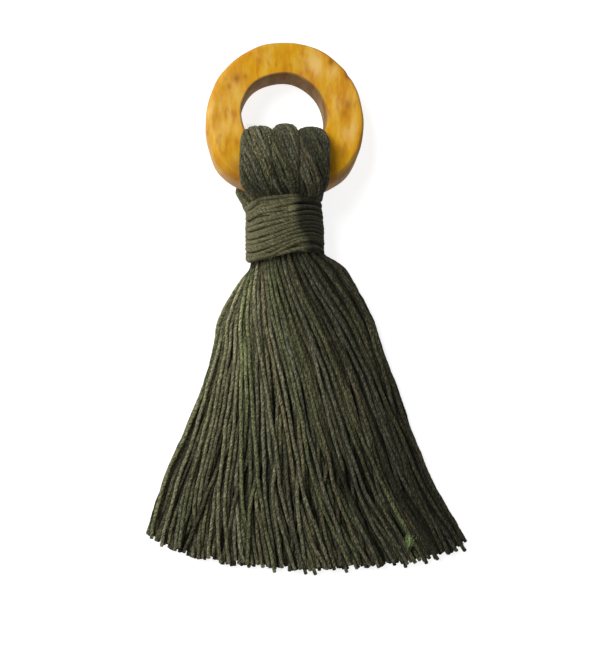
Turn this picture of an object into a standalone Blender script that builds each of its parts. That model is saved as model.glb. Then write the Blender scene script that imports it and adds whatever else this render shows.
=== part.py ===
"""Tassel on a wooden ring, lying on its back on a flat surface.

Three hanks of yarn are folded over a turned wooden ring, bound together below it with a
wound cord, and left to fan out into a skirt. +Z is up from the surface, +Y runs along the
tassel towards the ring, +X is to the right with the front of the tassel facing up.

Sizes are written in millimetres and modelled in metres. Everything is laid out from the
middle of the binding, at the surface, and the last step moves the origin to the middle of
the footprint.
"""
import math
from collections import namedtuple

import bmesh
import bpy
import numpy as np
from mathutils import Euler, Vector

MM = 0.001
GAP = 0.3                  # clearance between neighbouring hanks

# Ring: a turned hoop that leans on the folded yarn behind its lower bar.
RING_RADIUS = 25.0
RING_HOLE_RADIUS = 13.0
RING_THICKNESS = 10.0
RING_FRONT_ROUND = 2.6     # worn outer front edge
RING_EDGE_ROUND = 0.9      # the other three edges
RING_CENTRE = (-0.1, 33.3)
RING_TILT = math.radians(8.7)   # lower bar lifted off the surface
RING_ROLL = math.radians(4.5)   # left side lifted a little more than the right
RING_STEPS = 60
RING_CLEARANCE = 1.1       # between the hoop and the yarn folded over it
CLEARANCE_ROUND = 3.0      # the fold cannot turn tighter than this round the bar

# Hanks: a folded loop over the ring's lower bar, a bound neck, then a third of the skirt.
LOOP_SIDES = 20
LOOP_RIDGES = 5            # main strands of the twist
LOOP_RIDGE_DEPTH = 0.10    # part of the radius
TWIST_PITCH = 74.0         # length of one full turn of the twist
STEPS_PER_STATION = 2
LOCKS_PER_HANK = 6         # teeth of the comb along the hem
NECK_HALF_WIDTH = 10.7
BOUND_ROWS = 3             # rows of SPREAD inside the binding
FURROW_DEPTH = 1.5         # between two locks, at the hem
HEM_NOTCH = (1.8, 7.0)     # shallowest and deepest gap between two locks
HEM_UNEVENNESS = 1.4
SKIRT_BOW = 12.6           # how far the middle of the hem hangs past its corners
SKIRT_SLANT = 3.5          # the right corner hangs lower than the left

# Binding: one cord wound round the neck.
BINDING_TOP = 7.6
BINDING_FOOT = -9.2
BINDING_FOOT_DROP = 2.5    # the last turns slide down on the left
BINDING_TURNS = 13
BINDING_SIDES = 30
BINDING_HALF = (12.3, 9.7)       # across and through, over the cord
BINDING_BORE_HALF = (11.6, 8.6)
BINDING_HEIGHT = 9.7       # middle of the binding above the surface
BINDING_RIDGE = 0.3

# reach moves the fold's outer side along Y. setback moves its inner side, because the bar
# curves up at both sides of the hole.
Hank = namedtuple("Hank", "name centre neck_centre width neck_width reach setback")
HANKS = [
    Hank("hank_left", -9.05, -6.5, 9.3, 5.0, -0.2, 3.4),
    Hank("hank_middle", 0.15, 0.0, 8.6, 6.2, 0.6, 0.2),
    Hank("hank_right", 9.3, 6.5, 9.3, 5.0, -0.5, 3.4),
]

# The folded loop, from the bound neck up over the front of the bar, through the ring and
# back down behind it. Each row is a section from its inner point, beside the bar, to its
# outer point; fullness is the part of the hank's own width, from 0 at the neck to 1.
Station = namedtuple("Station", "inner_y inner_z outer_y outer_z fullness")
LOOP = [
    Station(1.0, 10.6, 1.0, 14.6, 0.00),
    Station(6.9, 10.6, 6.9, 14.6, 0.00),
    Station(7.8, 12.4, 7.9, 16.4, 0.08),
    Station(8.5, 15.4, 8.8, 20.2, 0.55),
    Station(9.3, 17.2, 10.2, 23.2, 0.80),
    Station(11.8, 18.1, 12.8, 24.9, 0.94),
    Station(16.0, 17.6, 17.2, 25.2, 1.00),
    Station(20.6, 17.0, 22.6, 24.0, 1.00),
    Station(22.4, 15.4, 27.8, 21.2, 0.84),
    Station(22.6, 12.9, 31.0, 16.9, 0.60),
    Station(22.2, 10.4, 32.1, 11.2, 0.52),
    Station(21.7, 8.0, 30.8, 5.6, 0.52),
    Station(20.9, 5.9, 27.2, 1.4, 0.72),
    Station(18.6, 5.5, 21.5, 0.0, 0.98),
    Station(15.0, 6.1, 15.2, 0.0, 1.08),
    Station(11.4, 6.6, 11.4, 0.0, 0.95),
    Station(9.2, 6.4, 9.2, 1.6, 0.50),
    Station(7.7, 7.3, 7.7, 4.6, 0.00),
    Station(1.0, 7.4, 1.0, 4.6, 0.00),
]

# The neck and the skirt: where the yarn lies at each distance down from the ring.
# crown and under are the heights along the middle, side_top and side_under at the edges.
# slide is how far the row follows the binding's foot down on the left, from 0 to 1.
Spread = namedtuple("Spread", "y left right crown under side_top side_under slide")
SPREAD = [
    Spread(7.0, -NECK_HALF_WIDTH, NECK_HALF_WIDTH, 17.4, 1.8, 11.0, 8.2, 0.0),
    Spread(-0.5, -NECK_HALF_WIDTH, NECK_HALF_WIDTH, 17.4, 1.8, 11.0, 8.2, 0.3),
    Spread(-9.6, -NECK_HALF_WIDTH, NECK_HALF_WIDTH, 17.4, 1.8, 11.0, 8.2, 1.0),
    Spread(-12.9, -12.2, 17.2, 17.0, 0.9, 9.8, 4.8, 0.5),
    Spread(-16.0, -14.0, 20.6, 16.2, 0.0, 7.0, 0.0, 0.0),
    Spread(-22.3, -18.2, 24.9, 14.6, 0.0, 5.6, 0.0, 0.0),
    Spread(-30.0, -22.1, 28.7, 13.2, 0.0, 4.6, 0.0, 0.0),
    Spread(-39.0, -23.4, 31.8, 11.9, 0.0, 4.0, 0.0, 0.0),
    Spread(-52.0, -27.3, 36.8, 10.3, 0.0, 3.6, 0.0, 0.0),
    Spread(-66.0, -33.0, 41.8, 9.0, 0.0, 3.4, 0.0, 0.0),
    Spread(-81.0, -39.4, 48.4, 7.9, 0.0, 3.2, 0.0, 0.0),
    Spread(-98.8, -44.8, 58.4, 6.8, 0.0, 3.0, 0.0, 0.0),
]


def clear_scene():
    for old in list(bpy.data.objects):
        bpy.data.objects.remove(old)


def new_collection(name):
    collection = bpy.data.collections.new(name)
    bpy.context.scene.collection.children.link(collection)
    return collection


def new_material(name, colour, roughness):
    material = bpy.data.materials.new(name)
    material.use_nodes = True
    shader = material.node_tree.nodes["Principled BSDF"]
    shader.inputs["Base Color"].default_value = (*colour, 1.0)
    shader.inputs["Roughness"].default_value = roughness
    shader.inputs["Metallic"].default_value = 0.0
    return material


def add_object(name, mesh, collection, material):
    mesh.materials.append(material)
    piece = bpy.data.objects.new(name, mesh)
    collection.objects.link(piece)
    return piece


def arc(centre_x, centre_z, radius, start, end, steps):
    """Points of an arc in the XZ plane, from one angle to another, in degrees."""
    angles = np.radians(np.linspace(start, end, steps + 1))
    return [(centre_x + radius * math.cos(a), centre_z + radius * math.sin(a)) for a in angles]


def smooth_rows(rows, steps):
    """Catmull-Rom rows between the rows of a table, all columns together."""
    table = np.array(rows, dtype=float)
    padded = np.vstack([2 * table[0] - table[1], table, 2 * table[-1] - table[-2]])
    out = []
    for i in range(1, len(padded) - 2):
        p0, p1, p2, p3 = padded[i - 1:i + 3]
        for step in range(steps):
            t = step / steps
            out.append(0.5 * (2 * p1 + (p2 - p0) * t + (2 * p0 - 5 * p1 + 4 * p2 - p3) * t ** 2
                              + (3 * p1 - p0 - 3 * p2 + p3) * t ** 3))
    out.append(table[-1])
    return out


def loft(name, rings):
    """A closed solid through rings of points; each cap is a strip across its ring.

    Point i of a ring faces point n-1-i, so a cap needs no point in its middle.
    """
    build = bmesh.new()
    verts = [[build.verts.new(Vector(p) * MM) for p in ring] for ring in rings]
    count = len(rings[0])
    for lower, upper in zip(verts, verts[1:]):
        for i in range(count):
            j = (i + 1) % count
            build.faces.new((lower[i], lower[j], upper[j], upper[i]))
    for ring in (verts[0], verts[-1]):
        for i in range(count // 2 - 1):
            build.faces.new((ring[i], ring[i + 1], ring[count - 2 - i], ring[count - 1 - i]))
    bmesh.ops.recalc_face_normals(build, faces=build.faces)
    mesh = bpy.data.meshes.new(name)
    build.to_mesh(mesh)
    build.free()
    return mesh


def shade_round(piece, limit=40.0):
    piece.data.shade_smooth()
    piece.data.set_sharp_from_angle(angle=math.radians(limit))


# ---------------------------------------------------------------- the ring

def ring_profile():
    """The hoop's section at +X, down its outer side and back up its bore."""
    half = RING_THICKNESS / 2
    front, edge = RING_FRONT_ROUND, RING_EDGE_ROUND
    outer, bore = RING_RADIUS, RING_HOLE_RADIUS
    return (arc(outer - front, half - front, front, 90, 0, 4)
            + arc(outer - edge, edge - half, edge, 0, -90, 2)
            + arc(bore + edge, edge - half, edge, -90, -180, 2)
            + arc(bore + edge, half - edge, edge, 180, 90, 2))


def ring_lean():
    return Euler((-RING_TILT, RING_ROLL, 0)).to_matrix()


def ring_centre():
    """The hoop's middle, as high as lets its lowest edge touch the surface."""
    lean = ring_lean()
    profile = ring_profile()
    lowest = min((lean @ Vector((x * math.cos(a), x * math.sin(a), z))).z
                 for x, z in profile
                 for a in np.linspace(0, 2 * math.pi, RING_STEPS, endpoint=False))
    return Vector((*RING_CENTRE, -lowest))


def make_ring(collection, material):
    build = bmesh.new()
    verts = [build.verts.new((x * MM, 0, z * MM)) for x, z in ring_profile()]
    for start, end in zip(verts, verts[1:] + verts[:1]):
        build.edges.new((start, end))
    mesh = bpy.data.meshes.new("ring")
    build.to_mesh(mesh)
    build.free()
    ring = add_object("ring", mesh, collection, material)
    turn = ring.modifiers.new("turn", "SCREW")
    turn.axis = "Z"
    turn.angle = 2 * math.pi
    turn.steps = turn.render_steps = RING_STEPS
    turn.use_merge_vertices = True
    turn.merge_threshold = 0.00001
    ring.location = ring_centre() * MM
    ring.rotation_euler = (-RING_TILT, RING_ROLL, 0)
    shade_round(ring)
    return ring


# ---------------------------------------------------------------- the hanks

def clear_of_ring(point, centre, lean):
    """The point, moved out of the hoop to just clear of it, round its softened edges."""
    local = lean.inverted() @ (point - centre)
    reach = math.hypot(local.x, local.y)
    outward = Vector((local.x, local.y, 0)) / reach
    offset = reach - (RING_RADIUS + RING_HOLE_RADIUS) / 2
    half_width = (RING_RADIUS - RING_HOLE_RADIUS) / 2 + RING_CLEARANCE - CLEARANCE_ROUND
    half_height = RING_THICKNESS / 2 + RING_CLEARANCE - CLEARANCE_ROUND
    beside, above = abs(offset) - half_width, abs(local.z) - half_height
    if beside > 0 and above > 0:
        length = math.hypot(beside, above)
        push = (CLEARANCE_ROUND - length) / length
        step = (beside * push, above * push)
    elif beside > above:
        step = (CLEARANCE_ROUND - beside, 0.0)
    else:
        step = (0.0, CLEARANCE_ROUND - above)
    if step[0] + step[1] <= 0:
        return point
    local += outward * math.copysign(step[0], offset)
    local.z += math.copysign(step[1], local.z)
    return centre + lean @ local


def loop_rings(hank, middle_of_ring, ring_lean):
    """Sections of the folded loop, with the hank's twist as ridges that wind round it."""
    lean = -hank.centre * math.tan(RING_ROLL)
    rings = []
    travelled = 0.0
    middle = None
    for inner_y, inner_z, outer_y, outer_z, fullness in smooth_rows(LOOP, STEPS_PER_STATION):
        free = min(1.0, 2 * fullness)
        inner = Vector((0, inner_y, inner_z + lean * free * min(1, inner_z / 6)))
        outer = Vector((0, outer_y, outer_z + lean * free * min(1, outer_z / 6)))
        outer.y += hank.reach * max(0, (outer_y - 20) / 12)
        inner.y += hank.setback * min(1, max(0, (inner_y - 18) / 3.5))
        centre = (inner + outer) / 2
        centre.x = hank.neck_centre + (hank.centre - hank.neck_centre) * min(1, fullness)
        travelled += (centre - middle).length if middle else 0.0
        middle = centre.copy()
        across = Vector((hank.neck_width + (hank.width - hank.neck_width) * fullness, 0, 0)) / 2
        through = (outer - inner) / 2
        turn = 2 * math.pi * travelled / TWIST_PITCH
        ring = []
        for i in range(LOOP_SIDES):
            angle = 2 * math.pi * (i + 0.5) / LOOP_SIDES
            furrow = 0.5 - 0.5 * math.cos(LOOP_RIDGES * (angle - turn))
            ridge = 1 - LOOP_RIDGE_DEPTH * fullness * furrow
            point = centre + (across * math.cos(angle) + through * math.sin(angle)) * ridge
            point = clear_of_ring(point, middle_of_ring, ring_lean)
            ring.append((point.x, point.y, max(0.0, point.z)))
        rings.append(ring)
    return rings


def hem_drop(across):
    """How far down the hem hangs at a place across the skirt, 0 left to 1 right."""
    return SKIRT_BOW * (4 * across * (1 - across)) ** 0.85 + SKIRT_SLANT * (across - 0.5)


def skirt_place(row, across):
    """Where a strand at this place across the skirt crosses a row of the table."""
    bound, hem = SPREAD[BOUND_ROWS - 1].y, SPREAD[-1].y
    progress = min(1.0, max(0.0, (bound - row.y) / (bound - hem)))
    drop = hem_drop(across) * progress ** 1.3
    slide = row.slide * BINDING_FOOT_DROP * max(0.0, 1 - 2 * across) ** 2
    return row.left + (row.right - row.left) * across, row.y - drop - slide


def skirt_ring(index, hank_index, cuts):
    """One section across a hank's share of the neck and skirt: its top, then its base."""
    row = SPREAD[index]
    columns = LOCKS_PER_HANK * 3
    furrow = FURROW_DEPTH * max(0, index - BOUND_ROWS + 1) / (len(SPREAD) - BOUND_ROWS)
    margin = GAP * 0.7 / (row.right - row.left)
    start = hank_index / len(HANKS) + (margin if hank_index else 0)
    end = (hank_index + 1) / len(HANKS) - (margin if hank_index < len(HANKS) - 1 else 0)
    top, base = [], []
    for column in range(columns + 1):
        across = start + (end - start) * column / columns
        arch = math.sqrt(max(0.0, 1 - (2 * across - 1) ** 2))
        high = row.side_top + (row.crown - row.side_top) * arch
        low = row.side_under - (row.side_under - row.under) * arch
        if column % 3 == 0:
            high -= furrow
        x, y = skirt_place(row, across)
        if row is SPREAD[-1]:
            above_x, above_y = skirt_place(SPREAD[-2], across)
            part = cuts[hank_index][column] / math.dist((x, y), (above_x, above_y))
            x, y = x + (above_x - x) * part, y + (above_y - y) * part
        top.append((x, y, high))
        base.append((x, y, low))
    return top + base[::-1]


def comb_cuts():
    """How far each point of the hem is cut back: deep between locks, a little at their tips."""
    rng = np.random.default_rng(7)
    columns = LOCKS_PER_HANK * 3
    cuts = rng.uniform(0.0, HEM_UNEVENNESS, (len(HANKS), columns + 1))
    cuts[:, ::3] += rng.uniform(*HEM_NOTCH, (len(HANKS), LOCKS_PER_HANK + 1))
    cuts[0, 0] = cuts[-1, -1] = 0.0
    return cuts


def make_hank(index, collection, cutters, material, cuts):
    hank = HANKS[index]
    rows = [skirt_ring(i, index, cuts) for i in range(len(SPREAD))]
    body = add_object(hank.name, loft(hank.name, rows), collection, material)
    fold = loop_rings(hank, ring_centre(), ring_lean())
    loop = add_object(hank.name + "_loop", loft(hank.name + "_loop", fold), cutters, material)
    loop.hide_render = True
    loop.display_type = "WIRE"
    join = body.modifiers.new("join_loop", "BOOLEAN")
    join.operation = "UNION"
    join.solver = "EXACT"
    join.object = loop
    return body


# ---------------------------------------------------------------- the binding

def binding_ring(y, half, ridge, drop):
    """One section round the neck, flat where it meets the surface."""
    ring = []
    for i in range(BINDING_SIDES):
        angle = 2 * math.pi * (i + 0.5) / BINDING_SIDES
        x = (half[0] + ridge) * math.cos(angle)
        z = BINDING_HEIGHT + (half[1] + ridge) * math.sin(angle)
        slide = drop * max(0.0, -math.cos(angle)) ** 2
        ring.append((x, y - slide, max(0.0, z)))
    return ring


def make_binding(collection, material):
    """A sleeve with a ridge for each turn: outside down, then back up the bore."""
    rings = []
    stations = BINDING_TURNS * 2 + 1
    for i in range(stations):
        t = i / (stations - 1)
        y = BINDING_TOP + (BINDING_FOOT - BINDING_TOP) * t
        drop = BINDING_FOOT_DROP * t ** 2
        ridge = BINDING_RIDGE if i % 2 else -BINDING_RIDGE
        rings.append(binding_ring(y, BINDING_HALF, ridge, drop))
    rings.append(binding_ring(BINDING_FOOT, BINDING_BORE_HALF, 0.0, BINDING_FOOT_DROP))
    rings.append(binding_ring(BINDING_TOP, BINDING_BORE_HALF, 0.0, 0.0))
    build = bmesh.new()
    verts = [[build.verts.new(Vector(p) * MM) for p in ring] for ring in rings]
    for lower, upper in zip(verts, verts[1:] + verts[:1]):
        for i in range(BINDING_SIDES):
            j = (i + 1) % BINDING_SIDES
            build.faces.new((lower[i], lower[j], upper[j], upper[i]))
    bmesh.ops.recalc_face_normals(build, faces=build.faces)
    mesh = bpy.data.meshes.new("binding")
    build.to_mesh(mesh)
    build.free()
    return add_object("binding", mesh, collection, material)


def centre_footprint(pieces, helpers):
    """Move everything so the origin is under the middle of the whole tassel."""
    bpy.context.view_layer.update()
    graph = bpy.context.evaluated_depsgraph_get()
    corners = []
    for piece in pieces:
        shown = piece.evaluated_get(graph)
        corners += [shown.matrix_world @ vert.co for vert in shown.data.vertices]
    low = Vector([min(c[axis] for c in corners) for axis in range(3)])
    high = Vector([max(c[axis] for c in corners) for axis in range(3)])
    shift = Vector(((low.x + high.x) / 2, (low.y + high.y) / 2, low.z))
    for piece in pieces + helpers:
        piece.location = piece.location - shift


def main():
    clear_scene()
    parts = new_collection("tassel_on_ring")
    cutters = new_collection("cutters")
    yarn = new_material("yarn", (0.052, 0.050, 0.028), 0.95)
    cord = new_material("binding_cord", (0.060, 0.058, 0.034), 0.9)
    wood = new_material("wood", (0.58, 0.27, 0.03), 0.45)
    cuts = comb_cuts()
    pieces = [make_ring(parts, wood)]
    pieces += [make_hank(i, parts, cutters, yarn, cuts) for i in range(len(HANKS))]
    pieces.append(make_binding(parts, cord))
    centre_footprint(pieces, list(cutters.objects))


main()
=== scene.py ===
"""Tassel on a wooden ring: the visual model and its picture.

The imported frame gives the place. Lengths below are millimetres in the tassel's own layout:
x to the right, y along the tassel towards the ring, z up from the surface. The origin is on
the surface under the middle of the binding, BINDING_TOP short of the binding's upper edge.
"""
from collections import namedtuple
from math import cos, exp, pi, radians, sin, sqrt, tan

import bpy
import numpy as np
from mathutils import Euler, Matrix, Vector


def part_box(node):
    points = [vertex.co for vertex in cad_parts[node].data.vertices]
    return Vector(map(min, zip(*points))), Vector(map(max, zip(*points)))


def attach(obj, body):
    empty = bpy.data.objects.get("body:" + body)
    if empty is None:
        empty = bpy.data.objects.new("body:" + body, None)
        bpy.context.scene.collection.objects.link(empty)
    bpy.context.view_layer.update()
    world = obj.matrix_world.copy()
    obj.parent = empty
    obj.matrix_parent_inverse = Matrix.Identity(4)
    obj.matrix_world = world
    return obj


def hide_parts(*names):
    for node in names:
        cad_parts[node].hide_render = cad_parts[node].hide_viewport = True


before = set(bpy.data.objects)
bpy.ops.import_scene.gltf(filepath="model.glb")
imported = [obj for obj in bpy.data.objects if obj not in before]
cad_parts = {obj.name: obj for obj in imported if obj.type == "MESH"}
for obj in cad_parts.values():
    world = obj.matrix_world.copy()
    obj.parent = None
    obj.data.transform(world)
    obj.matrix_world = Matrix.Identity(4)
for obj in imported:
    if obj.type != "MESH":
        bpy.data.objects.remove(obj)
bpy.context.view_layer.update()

MM = 0.001
BODY = "root"
TURN = 2 * pi
SEED = 2024

# ---- the layout, as the CAD model has it
RING_RADIUS, RING_HOLE_RADIUS, RING_THICKNESS = 25.0, 13.0, 10.0
RING_TILT, RING_ROLL = radians(8.7), radians(4.5)
BINDING_TOP, BINDING_FOOT = 7.6, -9.2
NECK_HEIGHT = 9.6  # of the middle of the bundle inside the binding

binding_low, binding_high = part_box("binding")
SHIFT = np.array([(binding_low[0] + binding_high[0]) / 2 / MM, binding_high[1] / MM - BINDING_TOP, 0.0])
ring_low, ring_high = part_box("ring")
RING_CENTRE = np.array([(ring_low[i] + ring_high[i]) / 2 / MM for i in range(3)]) - SHIFT
RING_LEAN = np.array(Euler((-RING_TILT, RING_ROLL, 0)).to_matrix())

# ---- yarn
YARN_RADIUS = 0.60
YARNS_PER_HANK = 40
YARN_SIDES = 8
YARN_STEP = 0.82  # between the sections of a yarn's mesh
YARN_UNEVEN, UNEVEN_LENGTH = 0.08, 12  # of its radius, and over how many sections
PLIES = 3
YARN_PLY_PITCH, CORD_PLY_PITCH = 6.0, 3.2
PLY_DEPTH = 0.045  # times the radius
END_RADII = np.array((0.45, 0.85))  # two extra sections round off a cut end
END_REACH = np.array((0.34, 0.18))  # and stand past it, both times the radius
END_TIP = 0.1
SQUEEZE = 0.80  # how much the binding narrows each yarn
LOOP_SWELL = 0.10  # how much fuller the slack yarn is over the bar
PATTERN_OFFSET = 371.3  # longer than a yarn, so no two share their mottling
YARN_WAVES = ((0.14, 14.0), (0.07, 5.0))  # size and length
NOISE_WAVES = ((1.0, 1.0), (1.9, 0.5), (3.3, 0.28))  # rate and weight

# ---- yarn colour and painted shade, as linear colours: each yarn is olive pulled towards one of the others
OLIVE = np.array((0.190, 0.182, 0.096))
DYES = np.array([
    (0.165, 0.182, 0.088),
    (0.205, 0.176, 0.102),
    (0.215, 0.212, 0.145),
    (0.110, 0.108, 0.070),
])
DYE_SHARES = (0.22, 0.22, 0.34, 0.22)
DYE_VARIES = 0.16  # along one yarn
PALE_GREEN = np.array((0.26, 0.36, 0.15))
STAIN = 0.36  # of the yarn beside the tuft, by the pale green
HIDDEN_SHADE = 0.20  # yarn deep inside, beside yarn that light reaches
LOOP_SHADE = 0.50  # the yarn over the ring, beside the skirt
# painted shade: the rightmost yarns are darker than the leftmost
RIGHT_SHADE = 0.18  # the rightmost yarns, beside the leftmost
# the cord's overall darkness, and how dark its painted shade on the right gets
CORD_SHADE, CORD_RIGHT_SHADE = 0.60, 0.20
UPPER_LIGHT, LIGHT_MIDDLE, LIGHT_SPAN = 0.32, -62.0, 40.0  # the skirt is paler towards its top

# ---- the loops over the ring's lower bar
Hank = namedtuple("Hank", "name centre neck_centre width neck_width reach setback wide_back")
HANKS = [
    Hank("left", -8.8, -6.4, 10.3, 6.6, -0.5, 3.4, True),
    Hank("middle", 0.1, 0.0, 9.8, 7.0, 0.4, 0.2, False),
    Hank("right", 9.1, 6.2, 10.0, 6.4, -0.6, 3.4, False),
]
# A hank's yarns lie in rings in its section, from the outside in.
LoopRing = namedtuple("LoopRing", "yarns reach start")
LOOP_RINGS = (LoopRing(22, 1.0, 0.1), LoopRing(12, 0.66, 0.4), LoopRing(6, 0.30, 0.2))
LOOP_TWIST_PITCH = 66.0
LOOP_SQUARENESS = 2.7  # 2 gives each loop an oval section, more a squarer one
LOOP_SWAY = 0.10  # how far yarns stray round the section, in radians
RING_CLEARANCE = 0.15
# The fold, as in the CAD model: a section at each station, from its inner to its outer
# side. Fullness goes from 0 in the neck to 1 over the bar.
Station = namedtuple("Station", "inner_y inner_z outer_y outer_z fullness")
LOOP = [
    Station(3.0, 9.4, 3.0, 17.2, 0.00),
    Station(7.4, 11.0, 7.4, 17.2, 0.10),
    Station(9.2, 13.6, 9.4, 19.2, 0.48),
    Station(10.8, 16.2, 11.4, 22.6, 0.80),
    Station(12.8, 17.6, 13.6, 24.6, 0.96),
    Station(16.0, 17.4, 17.2, 25.4, 1.00),
    Station(20.6, 16.8, 22.6, 24.2, 1.00),
    Station(22.4, 15.4, 28.0, 21.4, 0.92),
    Station(22.6, 12.9, 31.0, 17.0, 0.74),
    Station(22.2, 10.4, 32.0, 11.2, 0.58),
    Station(21.7, 8.0, 30.8, 5.6, 0.52),
    Station(20.9, 6.1, 27.2, 1.4, 0.72),
    Station(18.6, 5.8, 21.5, 0.0, 0.98),
    Station(15.0, 6.4, 15.2, 0.0, 1.08),
    Station(11.4, 6.9, 11.4, 0.0, 1.05),
    Station(9.0, 7.4, 9.0, 0.9, 0.60),
    Station(7.2, 8.0, 7.2, 1.8, 0.10),
    Station(3.0, 9.0, 3.0, 1.9, 0.00),
]
BACK_LEG_FROM = 0.7  # the share of the fold after which it is the back leg
BACK_LEG_TOP, BACK_LEG_FOOT, BACK_LEG_SLOPE, BACK_LEG_NECK = 1.44, 0.17, 0.115, 0.25
NARROW_BACK = 0.45  # the middle and right back legs, beside the left one

# ---- the neck, a close packing of yarn inside the binding
NECK_OVAL = (9.6, 7.1)  # the packing's half width and depth
NECK_REACH = (10.2, 7.6)  # the oval in which each end's place is read
NECK_HALF = (9.85, 7.25)  # the room inside the cord's inner turns
NECK_ROWS, NECK_COLUMNS = 12, 14
NECK_PITCH, SKIRT_PITCH, HEM_PITCH = 1.01, 1.20, 1.36  # between yarns, going down

# ---- the skirt's outline and crown at each distance down, as in the CAD model
Spread = namedtuple("Spread", "y left right crown slide")
SPREAD = [
    Spread(-5.0, -10.9, 10.9, 17.6, 0.6),
    Spread(-9.6, -11.0, 13.2, 17.5, 1.0),
    Spread(-11.2, -11.5, 17.4, 17.2, 0.8),
    Spread(-12.9, -12.2, 19.0, 16.8, 0.5),
    Spread(-16.0, -14.0, 21.2, 15.8, 0.0),
    Spread(-22.3, -18.2, 24.9, 13.8, 0.0),
    Spread(-30.0, -22.1, 28.7, 12.0, 0.0),
    Spread(-39.0, -23.4, 31.8, 10.4, 0.0),
    Spread(-52.0, -27.3, 36.8, 8.8, 0.0),
    Spread(-66.0, -33.0, 41.8, 7.4, 0.0),
    Spread(-81.0, -39.4, 48.4, 6.3, 0.0),
    Spread(-98.8, -44.9, 59.2, 5.2, 0.0),
]
CONE_TOP, CONE_FOOT = -9.6, -39.0  # between these most yarns run straight, inside the outline
CONE_HALF = 11.0  # of the straight run's width at its top
HEM = 98.8  # its corners' distance down
SKIRT_LEVELS = 44
SKIRT_BOW = 11.1  # how far the middle of the hem hangs below its corners
SKIRT_SLANT = 0.4
RIGHT_CORNER = 2.7  # how much longer the yarns at the right corner are
HEM_ROUNDNESS = 0.45  # 0.5 gives the hem an elliptical bow, less a flatter one
HEM_EDGE = 0.025  # the part of the bow left out at each corner
FOOT_SLIDE = 2.5  # how far the binding's foot slips down on the left
TURN_OUT, SETTLE = 7.0, 9.0  # lengths over which yarns leave the neck and loosen
RELAX_ROUNDS = 120
STRAIGHTENING = 10
WIDEST_GAP = 1.15  # between yarns in a section, times the radius
ROLL_OVER = 1.15  # the tassel has rolled over: its upper yarns lie to the right
HEM_PLACES = (0.003, 0.997)
STRAY_SHARE = 0.08

# Where the skirt parts and shows the darker yarn under it: place across it from 0 to 1,
# how far down the gap opens, and half its width at the hem.
Parting = namedtuple("Parting", "across opens half_width")
PARTINGS = [
    Parting(0.115, 0.70, 1.1),
    Parting(0.215, 0.80, 0.4),
    Parting(0.330, 0.60, 0.4),
    Parting(0.445, 0.70, 0.4),
    Parting(0.560, 0.50, 0.4),
    Parting(0.660, 0.60, 0.5),
    Parting(0.755, 0.60, 1.3),
    Parting(0.895, 0.80, 0.6),
]
PARTING_REACH = 0.03  # how far across the skirt a parting pushes yarns aside
# Yarns that lie in a hollow: place across, spread, how dark they get, and where that starts.
Hollow = namedtuple("Hollow", "across spread shade top")
HOLLOWS = [
    Hollow(0.115, 0.014, 0.55, -70.0),
    Hollow(0.750, 0.024, 0.62, -45.0),
    Hollow(0.920, 0.014, 0.35, -60.0),
]
HOLLOW_FADE = 20.0

# ---- loose fibres
HAIRS_PER_HANK, CORD_HAIRS = 2500, 1500
HAIR_RADIUS, TUFT_HAIR_RADIUS = 0.036, 0.055
HAIR_TAPER = (1.0, 0.9, 0.7)  # of a hair's sections, before its point
HAIR_ANGLES = (0.0, 2.094, 4.189)  # of a hair's three sides
LEAST_LIT = 0.20  # yarn darker than this is hidden and grows no fuzz
TUFT = (39.6, -100.4, 5.2)
TUFT_SIZE = (1.5, 1.9, 0.9)
TUFT_HAIRS = 420
STRAY_END_X, STRAY_END_LENGTH = 45.0, 3.0

# ---- the binding's cord
CORD_RADIUS = 0.64
CORD_STEP = 0.6
CORD_WOBBLE = (0.07, 0.12)  # outwards and along the neck
UNDER_TURNS, OVER_TURNS, POINTS_PER_TURN = 15, 15, 40
UNDER_HALF, OVER_HALF = (10.95, 8.35), (11.85, 9.0)
WRAP_SLANT = tan(radians(16))
CORD_RISE, CORD_DROP = 2.6, 0.3  # how far the turns reach past the CAD binding's ends
LEFT_DROP = 3.4  # of the top turns, below the back leg there

# ---- the ring
RING_STEPS = 264
# Marks on the ring's face: place round it in degrees, distance out, size, and how strong.
Mark = namedtuple("Mark", "angle radius size strength")
STAINS = [
    Mark(140, 20.1, 1.3, 0.70),
    Mark(133, 18.6, 0.9, 0.55),
    Mark(150, 20.6, 0.8, 0.45),
    Mark(52, 24.0, 1.3, 0.80),
    Mark(13, 20.6, 1.7, 0.55),
    Mark(6, 18.8, 1.1, 0.40),
    Mark(36, 24.8, 1.2, 1.00),
    Mark(229, 23.8, 4.4, 0.62),
    Mark(330, 21.5, 1.6, 0.35),
    Mark(92, 20.0, 9.0, 0.13),
]
# Where the varnish has worn or lightened.
WORN = [
    Mark(62, 20.0, 4.4, 0.60),
    Mark(46, 22.0, 2.6, 0.50),
    Mark(350, 20.5, 3.5, 0.60),
    Mark(20, 19.0, 7.0, 0.30),
    Mark(172, 24.0, 3.0, 0.50),
    Mark(180, 19.0, 8.0, 0.34),
    Mark(150, 19.0, 6.0, 0.28),
    Mark(110, 22.5, 3.0, 0.30),
]
NICK = Mark(36, 25.2, 1.1, 0.35)
# Where the sawn outline stands out of the round, or falls short of it.
Bulge = namedtuple("Bulge", "angle rise spread")
BULGES = [
    Bulge(90, 0.95, 42),
    Bulge(45, 0.5, 14),
    Bulge(180, 0.3, 30),
    Bulge(218, 1.3, 17),
    Bulge(322, 1.2, 17),
]
SAW_FLAT = Bulge(47, -0.30, 8)
HOLE_OFFSET = (-0.65, 1.3)
BACK_ROUNDING, BORE_BACK_ROUNDING, BORE_FRONT_ROUNDING = 0.9, 0.8, 0.6

# ---- camera, light and floor
CAMERA_DISTANCE = 0.450
CAMERA_LEAN = radians(1.75)  # off vertical, towards the hem
LENS, SENSOR = 75.1, 36.0
LOOK_AT = (-0.00203, -0.00698, 0.0)
FLOOR_HALF, FLOOR_DROP = 12.0, 0.0002


# ---- helpers

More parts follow.
